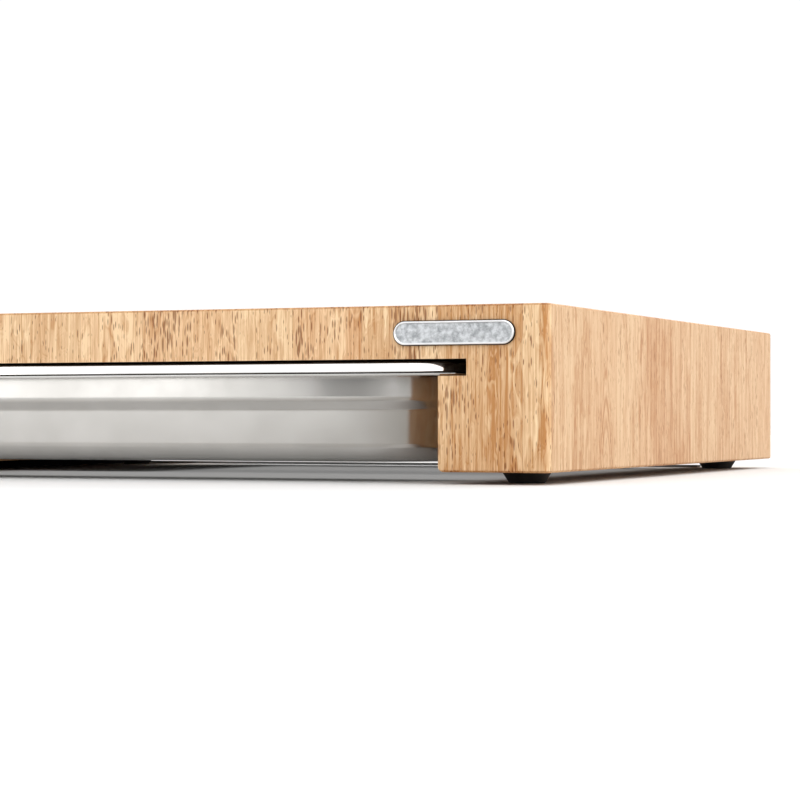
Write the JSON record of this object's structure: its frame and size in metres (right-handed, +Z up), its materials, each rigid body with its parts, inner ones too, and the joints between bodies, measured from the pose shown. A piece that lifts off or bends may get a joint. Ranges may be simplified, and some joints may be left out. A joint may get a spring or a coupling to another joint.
{
  "type": "cutting board with drawer trays",
  "caption": "End-grain wood cutting board on rubber feet, with shallow steel trays that slide out as drawers from grooves under its slab.",
  "frame": {"origin": "on the table that the feet stand on, under the middle of the block", "axes": "+Z up, the front face with the badge looks along -Y, +X to the right seen from the front; the front tray slides out along -Y and the rear tray along +Y"},
  "size_m": [0.399, 0.3765, 0.0738],
  "materials": {
    "rubberwood": "oiled",
    "tray_steel": "satin wall, polished rim",
    "foot_rubber": "matte",
    "fastener_steel": "plain",
    "badge_metal": "pewter, bare field"
  },
  "bodies": {
    "board": {"slab_strip_1": "rubberwood", "slab_strip_2": "rubberwood", "slab_strip_3": "rubberwood", "slab_strip_4": "rubberwood", "slab_strip_5": "rubberwood", "slab_strip_6": "rubberwood", "slab_strip_7": "rubberwood", "slab_strip_8": "rubberwood", "slab_strip_9": "rubberwood", "inner_cheek_right": "rubberwood", "outer_cheek_right": "rubberwood", "inner_cheek_left": "rubberwood", "outer_cheek_left": "rubberwood", "foot_front_right": "foot_rubber", "foot_front_left": "foot_rubber", "foot_rear_right": "foot_rubber", "foot_rear_left": "foot_rubber", "foot_washers": "fastener_steel", "foot_screws": "fastener_steel", "badge_plate": "badge_metal", "badge_pins": "fastener_steel"},
    "front_tray": {"front_tray": "tray_steel"},
    "rear_tray": {"rear_tray": "tray_steel"}
  },
  "joints": [
    {"name": "front_tray_slide", "type": "slide", "parent": "board", "child": "front_tray", "axis": [0, -1, 0], "range_m": [0, 0.15]},
    {"name": "rear_tray_slide", "type": "slide", "parent": "board", "child": "rear_tray", "axis": [0, 1, 0], "range_m": [0, 0.15]}
  ]
}
